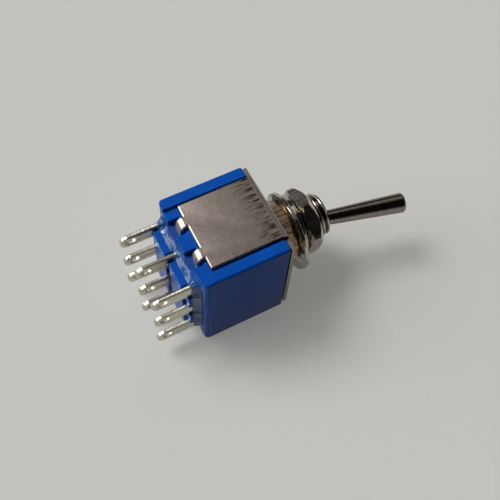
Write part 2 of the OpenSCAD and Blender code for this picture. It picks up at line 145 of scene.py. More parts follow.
def softened(node, width, segments=3, rolled=None, roll=0.0):
    """The CAD node's own form with its edges rounded to width.

    The edges that rolled(edge) picks get the wider radius roll.
    """
    weld, flat, corner = 0.002 * MM, math.radians(1.5), math.radians(28)
    bm = bmesh.new()
    bm.from_mesh(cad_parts[node].data)
    bmesh.ops.remove_doubles(bm, verts=bm.verts, dist=weld)
    bmesh.ops.dissolve_limit(bm, angle_limit=flat, verts=bm.verts, edges=bm.edges)
    if rolled:
        bmesh.ops.recalc_face_normals(bm, faces=bm.faces)
        edges = [edge for edge in bm.edges if rolled(edge)]
        bmesh.ops.bevel(bm, geom=edges, offset=roll, offset_type="OFFSET", segments=4, profile=0.5,
                        affect="EDGES", clamp_overlap=False)
    mesh = finished_mesh(bm, node + "_form")
    mesh.shade_smooth()
    mesh.set_sharp_from_angle(angle=corner)
    work = bpy.data.objects.new(node + "_work", mesh)
    bpy.context.scene.collection.objects.link(work)
    bevel = work.modifiers.new("edges", "BEVEL")
    bevel.width = width
    bevel.segments = segments
    bevel.limit_method = "ANGLE"
    bevel.angle_limit = corner
    bevel.use_clamp_overlap = True
    bevel.harden_normals = True
    depsgraph = bpy.context.evaluated_depsgraph_get()
    result = bpy.data.meshes.new_from_object(work.evaluated_get(depsgraph))
    bpy.data.objects.remove(work)
    bpy.data.meshes.remove(mesh)
    return result


def grid_mesh(name, rings, closed=True):
    """Skins a list of closed rings of points, first to last, and back to the first if closed."""
    bm = bmesh.new()
    rows = [[bm.verts.new(p) for p in ring] for ring in rings]
    count = len(rows[0])
    for i in range(len(rows) if closed else len(rows) - 1):
        low, high = rows[i], rows[(i + 1) % len(rows)]
        for k in range(count):
            bm.faces.new((low[k], low[(k + 1) % count], high[(k + 1) % count], high[k]))
    if not closed:
        bm.faces.new(rows[0])
        bm.faces.new(rows[-1])
    return finished_mesh(bm, name)


def ring_at(x, radius, sides):
    """Ring of points round the X axis; radius is a number or a function of the angle."""
    points = []
    for k in range(sides):
        angle = 2 * math.pi * k / sides
        r = radius(angle) if callable(radius) else radius
        points.append(Vector((x, r * math.cos(angle), r * math.sin(angle))))
    return points


def arc(x, r, radius, start, end, steps):
    """(x, r) points of an arc in a lathe outline, angles in degrees from +x towards +r."""
    turns = [math.radians(start + (end - start) * i / steps) for i in range(steps + 1)]
    return [(x + radius * math.cos(turn), r + radius * math.sin(turn)) for turn in turns]


# ---- materials ----
# A pattern is laid out in millimetres, so a Scale of 4 gives grains of a quarter of a millimetre,
# and a stretch of 0.1 along an axis draws them out to ten times that.

def add_node(tree, kind, settings=(), links=()):
    """Adds a node; a setting goes to the node's own value or to the input of that name or number."""
    node = tree.nodes.new(kind)
    for key, value in dict(settings).items():
        if isinstance(key, str) and hasattr(node, key):
            setattr(node, key, value)
        else:
            node.inputs[key].default_value = value
    for key, socket in dict(links).items():
        tree.links.new(socket, node.inputs[key])
    return node


def new_material(name, shader):
    """An empty material with a surface shader; returns the material, its nodes and the shader."""
    material = bpy.data.materials.new(name)
    material.use_nodes = True
    tree = material.node_tree
    tree.nodes.clear()
    surface = add_node(tree, "ShaderNodeBsdfPrincipled", shader)
    add_node(tree, "ShaderNodeOutputMaterial", links={"Surface": surface.outputs["BSDF"]})
    return material, tree, surface


def in_millimetres(tree, stretch=(1, 1, 1)):
    """The piece's own coordinates in millimetres, squeezed along the axes that a pattern is drawn out on."""
    place = add_node(tree, "ShaderNodeTexCoord")
    scale = tuple(s / MM for s in stretch)
    return add_node(tree, "ShaderNodeMapping", {"Scale": scale},
                    {"Vector": place.outputs["Object"]}).outputs["Vector"]


def ramp(tree, value, stops):
    """Colour ramp between (position, colour) stops."""
    node = add_node(tree, "ShaderNodeValToRGB", links={"Fac": value})
    elements = node.color_ramp.elements
    while len(elements) < len(stops):
        elements.new(0.5)
    for element, (position, colour) in zip(elements, stops):
        element.position = position
        element.color = colour
    return node.outputs["Color"]


def grey(value):
    """Neutral linear colour."""
    return (value, value, value, 1)


def tinted(colour, factor):
    """A colour made lighter or darker by a factor."""
    return tuple(min(1.0, c * factor) for c in colour[:3]) + (1,)


def nylon_moulded():
    """Injection-moulded blue nylon: even colour, a satin skin with faint flow and a few pale scuffs."""
    blue = bpy.context.scene.switch_colours.nylon
    material, tree, surface = new_material("Nylon 66, moulded, blue", {
        "IOR": 1.53, "Specular IOR Level": 0.09})
    place = in_millimetres(tree)
    # flow marks 3 mm across
    flow = add_node(tree, "ShaderNodeTexNoise", {"Scale": 0.35, "Detail": 4, "Roughness": 0.6},
                    {"Vector": place})
    colour = ramp(tree, flow.outputs["Fac"], [(0.3, tinted(blue, 0.9)), (0.7, tinted(blue, 1.08))])
    # scuffs up to half a millimetre wide and three times as long, where the case has rubbed on others
    scuff = add_node(tree, "ShaderNodeTexNoise", {"Scale": 2.2, "Detail": 8, "Roughness": 0.75},
                     {"Vector": in_millimetres(tree, (0.35, 1, 1))})
    worn = ramp(tree, scuff.outputs["Fac"], [(0.63, grey(0)), (0.72, grey(1))])
    faint = add_node(tree, "ShaderNodeMath", {"operation": "MULTIPLY", 1: 0.12}, {0: worn})
    mixed = add_node(tree, "ShaderNodeMix", {"data_type": "RGBA", 7: hex_colour("7F9BD0")},
                     {0: faint.outputs[0], 6: colour})
    tree.links.new(mixed.outputs[2], surface.inputs["Base Color"])
    gloss = add_node(tree, "ShaderNodeMapRange", {"To Min": 0.22, "To Max": 0.36},
                     {"Value": scuff.outputs["Fac"]})
    tree.links.new(gloss.outputs["Result"], surface.inputs["Roughness"])
    # spark-eroded tool texture, grains of 0.08 mm
    skin = add_node(tree, "ShaderNodeTexNoise", {"Scale": 12.0, "Detail": 2}, {"Vector": place})
    bump = add_node(tree, "ShaderNodeBump", {"Strength": 0.12, "Distance": 0.02 * MM},
                    {"Height": skin.outputs["Fac"]})
    tree.links.new(bump.outputs["Normal"], surface.inputs["Normal"])
    return material


def steel_folded():
    """Nickel-plated sheet steel, folded: soft metal gloss, with drawn streaks that run in from the bend."""
    sheet = bpy.context.scene.switch_colours.sheet
    material, tree, surface = new_material("Sheet steel, nickel-plated, folded", {"Metallic": 1.0})
    place = in_millimetres(tree)
    # streaks 0.3 mm wide with finer ones in them, drawn out along the neck's axis
    streak = add_node(tree, "ShaderNodeTexNoise", {"Scale": 3.6, "Detail": 6, "Roughness": 0.65},
                      {"Vector": in_millimetres(tree, (0.12, 1, 1))})
    split = add_node(tree, "ShaderNodeSeparateXYZ", links={"Vector": place})
    # they fade away from the bend, and how far each one reaches changes every millimetre or so
    near_bend = add_node(tree, "ShaderNodeMapRange", {"From Min": -4.6, "From Max": -0.9},
                         {"Value": split.outputs["X"]})
    reach = add_node(tree, "ShaderNodeTexNoise", {"Scale": 0.9, "Detail": 3},
                     {"Vector": in_millimetres(tree, (0.02, 1, 0.02))})
    lifted = add_node(tree, "ShaderNodeMath", {"operation": "ADD"},
                      {0: near_bend.outputs[0], 1: reach.outputs["Fac"]})
    zone = add_node(tree, "ShaderNodeMapRange", {"From Min": 0.75, "From Max": 1.35},
                    {"Value": lifted.outputs[0]})
    lines = ramp(tree, streak.outputs["Fac"], [(0.46, grey(0)), (0.55, grey(1))])
    dark = add_node(tree, "ShaderNodeMath", {"operation": "MULTIPLY"}, {0: zone.outputs[0], 1: lines})
    before_bend = add_node(tree, "ShaderNodeMapRange", {"From Min": -0.82, "From Max": -0.95, "To Max": 0.95},
                           {"Value": split.outputs["X"]})
    softer = add_node(tree, "ShaderNodeMath", {"operation": "MULTIPLY"},
                      {0: dark.outputs[0], 1: before_bend.outputs[0]})
    # rolled and tumbled skin of the sheet, a mottle of 0.4 by 0.7 mm
    cloud = add_node(tree, "ShaderNodeTexNoise", {"Scale": 2.4, "Detail": 5, "Roughness": 0.75},
                     {"Vector": in_millimetres(tree, (1, 0.6, 1))})
    base = ramp(tree, cloud.outputs["Fac"], [(0.32, tinted(sheet, 0.93)), (0.68, tinted(sheet, 1.1))])
    mixed = add_node(tree, "ShaderNodeMix", {"data_type": "RGBA", 7: hex_colour("3B2C27")},
                     {0: softer.outputs[0], 6: base})
    tree.links.new(mixed.outputs[2], surface.inputs["Base Color"])
    rough = add_node(tree, "ShaderNodeMapRange", {"To Min": 0.2, "To Max": 0.36},
                     {"Value": cloud.outputs["Fac"]})
    tree.links.new(rough.outputs["Result"], surface.inputs["Roughness"])
    # rolling grain, drawn 0.3 by 1.1 mm, coarser than the real one, so that it shows
    grain = add_node(tree, "ShaderNodeTexNoise", {"Scale": 3.0, "Detail": 5, "Roughness": 0.7},
                     {"Vector": in_millimetres(tree, (1, 0.3, 1))})
    bump = add_node(tree, "ShaderNodeBump", {"Strength": 0.25, "Distance": 0.02 * MM},
                    {"Height": grain.outputs["Fac"]})
    tree.links.new(bump.outputs["Normal"], surface.inputs["Normal"])
    return material


def nickel_bright(name, tint, rough, grain_axes, grain_scale, depth, contrast=0.15):
    """Bright nickel over turned, drawn or stamped metal: mirror gloss broken by tool lines along one way.

    Depth is that of the lines, in millimetres, and contrast how much darker and lighter they are.
    """
    material, tree, surface = new_material(name, {"Metallic": 1.0})
    lines = add_node(tree, "ShaderNodeTexNoise", {"Scale": grain_scale, "Detail": 4, "Roughness": 0.6},
                     {"Vector": in_millimetres(tree, grain_axes)})
    # tarnish in clouds of 1.7 mm
    cloud = add_node(tree, "ShaderNodeTexNoise", {"Scale": 0.6, "Detail": 4},
                     {"Vector": in_millimetres(tree)})
    shade = add_node(tree, "ShaderNodeMix", {0: 0.7}, {2: cloud.outputs["Fac"], 3: lines.outputs["Fac"]})
    base = ramp(tree, shade.outputs[0], [(0.4, tinted(tint, 1 - contrast)),
                                         (0.6, tinted(tint, 1 + contrast * 0.8))])
    tree.links.new(base, surface.inputs["Base Color"])
    spread = add_node(tree, "ShaderNodeMapRange", {"To Min": rough * 0.7, "To Max": rough * 1.5},
                      {"Value": lines.outputs["Fac"]})
    tree.links.new(spread.outputs["Result"], surface.inputs["Roughness"])
    bump = add_node(tree, "ShaderNodeBump", {"Strength": 0.3, "Distance": depth * MM},
                    {"Height": lines.outputs["Fac"]})
    tree.links.new(bump.outputs["Normal"], surface.inputs["Normal"])
    return material


def painted_root_shade(material, root, crest):
    """Painted shade in the thread: the metal's colour darkens to brown from the crests down to the roots.

    Root and crest are radii in millimetres, between which it darkens.
    """
    tree = material.node_tree
    surface = next(node for node in tree.nodes if node.type == "BSDF_PRINCIPLED")
    bright = surface.inputs["Base Color"].links[0].from_socket
    radius = add_node(tree, "ShaderNodeVectorMath", {"operation": "LENGTH"},
                      {0: in_millimetres(tree, (0, 1, 1))})
    depth = add_node(tree, "ShaderNodeMapRange", {"From Min": crest, "From Max": root, "To Max": 0.9},
                     {"Value": radius.outputs["Value"]})
    # painted shade: dark brown mixed in towards the thread's roots
    mixed = add_node(tree, "ShaderNodeMix", {"data_type": "RGBA", 7: hex_colour("2B251D")},
                     {0: depth.outputs["Result"], 6: bright})
    tree.links.new(mixed.outputs[2], surface.inputs["Base Color"])


def tin_dipped():
    """Tinned brass lugs: bright pale metal, slightly lumpy where the tin ran, rough on the sheared edges."""
    tin = bpy.context.scene.switch_colours.tin
    material, tree, surface = new_material("Brass, tinned", {"Metallic": 1.0})
    place = in_millimetres(tree)
    # lumps of tin 0.9 mm across
    run = add_node(tree, "ShaderNodeTexNoise", {"Scale": 1.1, "Detail": 5, "Roughness": 0.6},
                   {"Vector": place})
    base = ramp(tree, run.outputs["Fac"], [(0.3, tinted(tin, 0.78)), (0.65, tinted(tin, 0.98))])
    tree.links.new(base, surface.inputs["Base Color"])
    # the sheared edges face along Z: they are torn in grains of 0.2 by 0.45 mm
    facing = add_node(tree, "ShaderNodeTexCoord")
    split = add_node(tree, "ShaderNodeSeparateXYZ", links={"Vector": facing.outputs["Normal"]})
    edge = add_node(tree, "ShaderNodeMath", {"operation": "ABSOLUTE"}, {0: split.outputs["Z"]})
    torn = add_node(tree, "ShaderNodeTexVoronoi", {"Scale": 5.5},
                    {"Vector": in_millimetres(tree, (1, 0.4, 1))})
    fine = add_node(tree, "ShaderNodeTexNoise", {"Scale": 3.0, "Detail": 5}, {"Vector": place})
    grains = add_node(tree, "ShaderNodeMath", {"operation": "ADD"},
                      {0: fine.outputs["Fac"], 1: torn.outputs["Distance"]})
    smooth = add_node(tree, "ShaderNodeMath", {"operation": "MULTIPLY", 1: 0.12}, {0: run.outputs["Fac"]})
    height = add_node(tree, "ShaderNodeMix",
                      links={0: edge.outputs[0], 2: smooth.outputs[0], 3: grains.outputs[0]})
    bump = add_node(tree, "ShaderNodeBump", {"Strength": 0.3, "Distance": 0.02 * MM},
                    {"Height": height.outputs[0]})
    tree.links.new(bump.outputs["Normal"], surface.inputs["Normal"])
    rough = add_node(tree, "ShaderNodeMapRange", {"To Min": 0.2, "To Max": 0.36},
                     {"Value": run.outputs["Fac"]})
    tree.links.new(rough.outputs["Result"], surface.inputs["Roughness"])
    return material


def resin_poured():
    """Epoxy, poured and set: glassy, half clouded with the blue of the case, paler up its banks partly as
    painted highlight, with a rippled skin.
    """
    material, tree, surface = new_material("Epoxy, poured, clear", {
        "IOR": 1.5, "Roughness": 0.03, "Specular IOR Level": 0.3})
    # clear and paler blue where it is drawn up thin on the lugs and ribs, clouded blue where it lies deep;
    # the paler blue up the banks is partly a painted highlight along the meniscus
    height = add_node(tree, "ShaderNodeSeparateXYZ", links={"Vector": in_millimetres(tree)})
    depth = add_node(tree, "ShaderNodeMapRange", {"From Min": -13.1, "From Max": -12.2},
                     {"Value": height.outputs["X"]})
    # paler blue up the banks: partly the thin resin, partly painted highlight
    colour = ramp(tree, depth.outputs["Result"], [(0.0, hex_colour("3F8AD0")), (1.0, hex_colour("0F5CB8"))])
    tree.links.new(colour, surface.inputs["Base Color"])
    clear = add_node(tree, "ShaderNodeMapRange", {"To Min": 0.75, "To Max": 0.55},
                     {"Value": depth.outputs["Result"]})
    tree.links.new(clear.outputs["Result"], surface.inputs["Transmission Weight"])
    # ripples about a millimetre apart
    ripple = add_node(tree, "ShaderNodeTexNoise", {"Scale": 0.9, "Detail": 1},
                      {"Vector": in_millimetres(tree)})
    bump = add_node(tree, "ShaderNodeBump", {"Strength": 0.45, "Distance": 0.1 * MM},
                    {"Height": ripple.outputs["Fac"]})
    tree.links.new(bump.outputs["Normal"], surface.inputs["Normal"])
    return material


def plain_inside(name, colour, metallic, rough):
    """Finish of a piece that the case hides: real colour and gloss, with faint variation only."""
    material, tree, surface = new_material(name, {"Metallic": metallic})
    cloud = add_node(tree, "ShaderNodeTexNoise", {"Scale": 1.0, "Detail": 3},
                     {"Vector": in_millimetres(tree)})
    base = ramp(tree, cloud.outputs["Fac"], [(0.3, tinted(colour, 0.92)), (0.7, tinted(colour, 1.05))])
    tree.links.new(base, surface.inputs["Base Color"])
    spread = add_node(tree, "ShaderNodeMapRange", {"To Min": rough * 0.8, "To Max": rough * 1.2},
                      {"Value": cloud.outputs["Fac"]})
    tree.links.new(spread.outputs["Result"], surface.inputs["Roughness"])
    return material


def dress(node, material):
    """Gives a CAD node that stays as it is its material."""
    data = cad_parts[node].data
    data.materials.clear()
    data.materials.append(material)


# ---- pieces ----

PIVOT = 4.0 * MM            # distance from the frame's front to the middle of the lever's ball


class CaseOperator(bpy.types.Operator):
    """Moulded case with rounded edges"""
    bl_idname = "toggle_switch.case"
    bl_label = "Moulded case"

    def execute(self, context):
        rim_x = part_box("housing")[1].x - 0.01 * MM
        wall_y = 5.9 * MM        # between the inner and outer face of the side walls
        rim_round = 0.22 * MM

        def rim(edge):
            """Edge round the open front, by the front plate."""
            outer = max(abs(vert.co.y) for vert in edge.verts) > wall_y
            return outer and min(vert.co.x for vert in edge.verts) > rim_x and edge.calc_face_angle(0) > 1

        mesh = softened("housing", context.scene.switch_sizes.moulded_edge, rolled=rim, roll=rim_round)
        new_piece("case_moulding", mesh, "case", nylon_moulded(), ["housing"])
        return {"FINISHED"}


class FrameOperator(bpy.types.Operator):
    """Folded steel frame with its crimped tabs"""
    bl_idname = "toggle_switch.frame"
    bl_label = "Folded frame"

    def execute(self, context):
        bend_end = -0.79 * MM    # a cheek is flat behind this

        def punched(edge):
            """Outer edge of a cheek or its tabs, rolled over by the punch."""
            if max(vert.co.x for vert in edge.verts) > bend_end or edge.calc_face_angle(0) < 1:
                return False
            outward = Vector((-1, 0, math.copysign(1, edge.verts[0].co.z)))
            return all(abs(face.normal.y) > 0.5 or face.normal.dot(outward) > 0.3 for face in edge.link_faces)

        sizes = context.scene.switch_sizes
        mesh = softened("frame", sizes.sheet_edge, 2, rolled=punched, roll=sizes.rolled_edge)
        new_piece("folded_frame", mesh, "case", steel_folded(), ["frame"])
        return {"FINISHED"}


def thread_radius(x, angle, pitch, depth, crest):
    """Radius of a right-hand thread at a place: sloping flanks between a flat crest and a flat root."""
    root_flat, flank = 0.2, 0.66        # shares of half a pitch; the crest has what is left
    phase = (x / pitch - angle / (2 * math.pi)) % 1.0
    height = (abs(2 * phase - 1) - root_flat) / flank
    return crest - depth + depth * min(1.0, max(0.0, height))


class NeckOperator(bpy.types.Operator):
    """Threaded neck with its keyway and the cup that the lever swings in"""
    bl_idname = "toggle_switch.neck"
    bl_label = "Threaded neck"

    def execute(self, context):
        sizes = context.scene.switch_sizes
        low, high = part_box("bushing")
        back, length = low.x, high.x
        crest = 3.0 * MM
        pitch, depth = sizes.pitch, sizes.thread_depth
        lead, lead_slope = 0.35 * MM, 1.1                       # chamfer at the thread's front end
        keyway_floor, keyway_half = 2.45 * MM, 0.6 * MM
        mouth, throat, seat = 2.2 * MM, 1.45 * MM, 1.85 * MM    # radii of the cup, from the front
        lip = 0.12 * MM
        flare_x = 0.6 * MM                                      # the seat widens behind this
        shank, rim, rim_edge = 2.85 * MM, 3.35 * MM, 0.05 * MM  # in the plate, and staked behind it
        plate_back = -0.5 * MM
        sides, steps_a_turn = 144, 12

        def outer(x):
            def radius(angle):
                r = thread_radius(x, angle, pitch, depth, crest)
                r = min(r, crest - max(0.0, x - (length - lead)) * lead_slope)
                y, z = r * math.cos(angle), r * math.sin(angle)
                if y > keyway_floor and abs(z) < keyway_half:
                    r = keyway_floor / math.cos(angle)
                return r
            return radius

        steps = int(length / (pitch / steps_a_turn))
        rings = [ring_at(length * i / steps, outer(length * i / steps), sides) for i in range(steps + 1)]
        # down the cup to the throat, round the ball's seat, and out over the staked rim
        seat_x = PIVOT + math.sqrt(seat ** 2 - throat ** 2)
        seat_from = math.degrees(math.asin(throat / seat))
        inner = [(length, mouth + lip), (length - lip, mouth)]
        inner += [(seat_x + (length - lip - seat_x) * (1 - i / 8), throat + (mouth - throat) * (1 - i / 8))
                  for i in range(1, 9)]
        inner += arc(PIVOT, 0, seat, seat_from, 90, 6)[1:]
        inner += [(flare_x, seat), (back, mouth), (back, rim - rim_edge), (back + rim_edge, rim),
                  (plate_back, rim), (plate_back, shank), (0.0, shank)]
        rings += [ring_at(x, r, sides) for x, r in inner]
        # turned: rings 0.2 mm wide run round it
        nickel = nickel_bright("Brass, turned, nickel-plated", context.scene.switch_colours.nickel,
                               0.13, (1, 0.1, 0.1), 5.0, 0.01)
        # painted shade: the thread's roots are coloured darker brown
        painted_root_shade(nickel, 2.66, 2.9)
        mesh = grid_mesh("threaded_neck", rings)
        new_piece("threaded_neck", mesh, "case", nickel, ["bushing"], 60)
        return {"FINISHED"}


def nut_mesh(name, start, turn, across, height, bore):
    """Hexagon nut: corners cut at 45 degrees in front and 30 behind, corners eased, bore countersunk."""
    sides = 144
    inscribed = across / 2
    corner = inscribed * 1.142        # a sharp corner would be at 1.155
    front_r, back_r = inscribed - 0.12 * MM, inscribed - 0.05 * MM
    sink = 0.3 * MM
    end = start + height

    def front(r):
        return end - max(0.0, r - front_r)

    def back(r):
        return start + max(0.0, r - back_r) * math.tan(math.radians(30))

    def ring(radius, x_of):
        points = []
        for k in range(sides):
            angle = 2 * math.pi * k / sides + turn
            r = min(radius(angle - turn), corner)
            points.append(Vector((x_of(r), r * math.cos(angle), r * math.sin(angle))))
        return points

    def circle(r, x):
        return ring(lambda angle: r, lambda _: x)

    def hexagon(angle):
        return inscribed / math.cos((angle + math.pi / 6) % (math.pi / 3) - math.pi / 6)

    rings = [circle(bore + sink, start), circle(back_r, start)]
    rings += [ring(hexagon, lambda r, i=i: back(r) + (front(r) - back(r)) * i / 6) for i in range(7)]
    rings += [circle(front_r, end), circle(bore + sink, end), circle(bore, end - sink),
              circle(bore, start + sink)]
    return grid_mesh(name, rings)


class NutsOperator(bpy.types.Operator):
    """The two hexagon nuts"""
    bl_idname = "toggle_switch.nuts"
    bl_label = "Nuts"

    def execute(self, context):
        colours = context.scene.switch_colours
        across, bore = 8.0 * MM, 3.06 * MM
        # drawn hexagon bar: lines of 0.25 mm along the axis, coarser than the real ones, so that they show
        drawn = nickel_bright("Brass bar, drawn, nickel-plated", tinted(colours.nickel, 0.85),
                              0.2, (0.08, 1, 1), 4.0, 0.025, 0.35)
        # the plating is thin here, and the brass shows through it as brown ribs of 0.3 mm
        thin = nickel_bright("Brass bar, drawn, thinly plated", colours.brass,
                             0.3, (0.06, 1, 1), 3.2, 0.04, 0.6)
        # the numbers are the degrees that each nut has been left turned by
        for name, node, body, turn, metal in (("inner_hexagon", "inner_nut", "case", 36.5, thin),
                                              ("outer_hexagon", "outer_nut", "clamp_nut", 65.5, drawn)):
            low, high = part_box(node)
            mesh = nut_mesh(name, low.x, math.radians(turn), across, high.x - low.x, bore)
            new_piece(name, mesh, body, metal, [node], 25)
        return {"FINISHED"}


class WashersOperator(bpy.types.Operator):
    """Keyed washer and toothed lock washer, hanging askew on the thread"""
    bl_idname = "toggle_switch.washers"
    bl_label = "Washers"

    def execute(self, context):
        # stamped and barrelled: dents of 0.3 mm that run no special way
        stamped = nickel_bright("Steel, stamped, nickel-plated",
                                tinted(context.scene.switch_colours.nickel, 0.8),
                                0.13, (1, 1, 1), 3.0, 0.02, 0.3)
        barrelled_edge = 0.09 * MM
        for name, node in (("keyed_ring", "keyed_washer"), ("toothed_ring", "lock_washer")):
            mesh = softened(node, barrelled_edge)
            new_piece(name, mesh, "washers", stamped, [node], 40)
        return {"FINISHED"}


class LeverOperator(bpy.types.Operator):
    """Bat lever, turned and plated dark"""
    bl_idname = "toggle_switch.lever"
    bl_label = "Lever"

    def execute(self, context):
        # along the lever's own axis, from the middle of its ball
        length, tip_r, tip_edge = 15.497 * MM, 1.37 * MM, 0.45 * MM
        neck, base_r = 4.1 * MM, 0.98 * MM        # it widens from here to the tip
        ball = 1.8 * MM
        inner, stem, stem_edge = -6.2 * MM, 0.9 * MM, 0.15 * MM
        stem_end = -1.56 * MM                     # it runs into the ball here
        tilt = math.radians(13.2)
        sides = 96

        outline = [(inner, stem - stem_edge), (inner + stem_edge, stem), (stem_end, stem)]
        outline += arc(0, 0, ball, 150, 33, 24)
        outline += [(0.87 * ball, base_r + 0.02 * MM), (neck, base_r)]
        taper = length - tip_edge - neck
        outline += [(neck + taper * i / 12, base_r + (tip_r - base_r) * i / 12) for i in range(1, 13)]
        outline += arc(length - tip_edge, tip_r - tip_edge, tip_edge, 85, 0, 8)
        outline += [(length, 0.2 * MM)]
        mesh = grid_mesh("bat_lever", [ring_at(x, r, sides) for x, r in outline], closed=False)
        mesh.transform(Matrix.Translation((PIVOT, 0, 0)) @ Matrix.Rotation(-tilt, 4, "Z"))
        # turned and polished: rings 0.2 mm wide, almost without depth
        dark = nickel_bright("Brass, turned, dark nickel-plated", context.scene.switch_colours.lever,
                             0.16, (1, 0.08, 0.08), 5.0, 0.004)
        new_piece("bat_lever", mesh, "lever", dark, ["lever"], 40)
        return {"FINISHED"}


class LugsOperator(bpy.types.Operator):
    """Nine solder lugs"""
    bl_idname = "toggle_switch.lugs"
    bl_label = "Solder lugs"

    def execute(self, context):
        tin = tin_dipped()
        for node in LUGS:
            mesh = softened(node, context.scene.switch_sizes.lug_edge)
            new_piece("lug_" + node[-2:], mesh, "case", tin, [node], 40)
        return {"FINISHED"}


class ResinOperator(bpy.types.Operator):
    """Clear resin that climbs the lugs, ribs and walls it was poured between"""
    bl_idname = "toggle_switch.resin"
    bl_label = "Sealing resin"

    def execute(self, context):
        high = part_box("terminal_seal")[1]
        sizes = context.scene.switch_sizes
        # from here on in millimetres
        half_y, half_z = high.y / MM, high.z / MM
        climb_most = sizes.resin_climb / MM
        wall_climb, wall_reach = 0.16, 0.3
        ripple_height = 0.09
        step = 0.1
        # what stands in the resin, as (middle y, middle z, half y, half z, reach of its bank)
        posts = [(y * 2.35, 0, 1.7, 5.5, 0.42) for y in (-1, 1)]
        posts += [(y * 4.65, z * 2.4, 0.6, 1.25, 0.42) for y in (-1, 1) for z in (-1, 1)]
        posts += [(y * 4.7, z * 4.8, 0.25, 1.0, 0.3) for y in (-1, 0, 1) for z in (-1, 0, 1)]

        def surface(y, z):
            """X of the resin's skin in metres: banks that die away from walls and posts, and ripples."""
            climb = wall_climb * math.exp(-min(half_y - abs(y), half_z - abs(z)) / wall_reach)
            # the resin drew up unevenly: its banks swing between wide and narrow every 3 mm
            swing = 1 + 0.3 * math.sin(2.1 * y + 0.4) * math.cos(1.6 * z)
            for middle_y, middle_z, deep, wide, reach in posts:
                dy = max(0.0, abs(y - middle_y) - deep)
                dz = max(0.0, abs(z - middle_z) - wide)
                # climbs that meet run together without a crease
                climb = math.hypot(climb, climb_most * math.exp(-math.hypot(dy, dz) / (reach * swing)))
            climb = min(climb, climb_most)
            ripple = ripple_height * math.sin(2.6 * y + 0.6) * math.sin(2.1 * z + 1.1)
            return (climb + ripple * (1 - climb / climb_most)) * -MM - sizes.resin_level

        columns, rows = int(2 * half_y / step), int(2 * half_z / step)
        bm = bmesh.new()
        skin = []
        for i in range(columns + 1):
            y = -half_y + 2 * half_y * i / columns
            places = [-half_z + 2 * half_z * k / rows for k in range(rows + 1)]
            skin.append([bm.verts.new((surface(y, z), y * MM, z * MM)) for z in places])
        for i in range(columns):
            for k in range(rows):
                bm.faces.new((skin[i][k], skin[i + 1][k], skin[i + 1][k + 1], skin[i][k + 1]))
        # walls round the skin, and a flat underside
        rim = [skin[i][0] for i in range(columns + 1)] + [skin[-1][k] for k in range(1, rows + 1)]
        rim += [skin[i][-1] for i in range(columns - 1, -1, -1)]
        rim += [skin[0][k] for k in range(rows - 1, 0, -1)]
        under = [bm.verts.new((high.x, vert.co.y, vert.co.z)) for vert in rim]
        for k in range(len(rim)):
            after = (k + 1) % len(rim)
            bm.faces.new((rim[k], rim[after], under[after], under[k]))
        bm.faces.new(under)
        mesh = finished_mesh(bm, "sealing_resin")
        new_piece("sealing_resin", mesh, "case", resin_poured(), ["terminal_seal"], 50)
        return {"FINISHED"}


class InsideOperator(bpy.types.Operator):
    """Pin, actuator, plungers, springs and rockers inside the case"""
    bl_idname = "toggle_switch.inside"
    bl_label = "Inside pieces"

    def execute(self, context):
        # ground steel and turned brass shine, silver is soft and pale, and natural nylon is like ivory
        dress("pivot_pin", plain_inside("Steel pin, ground", hex_colour("9A9A9C"), 1.0, 0.25))
        dress("actuator", plain_inside("Nylon 66, natural", hex_colour("E6DFC8"), 0.0, 0.45))
        plunger = plain_inside("Brass, turned", hex_colour("C9A24E"), 1.0, 0.3)
        rocker = plain_inside("Copper strip, silver-plated", hex_colour("DAD7D0"), 1.0, 0.35)
        spring = plain_inside("Spring wire, drawn", hex_colour("B4B4B8"), 1.0, 0.3)
        for pole in POLES:
            dress(f"plunger_{pole}", plunger)
            dress(f"rocker_{pole}", rocker)
            # each spring gets its own copy of the wire's mesh and rides on the lever's body
            node = f"spring_{pole}"
            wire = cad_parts[node].data.copy()
            coil = new_piece(f"coil_{pole}", wire, "lever", spring, [node])
            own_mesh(coil)
        return {"FINISHED"}


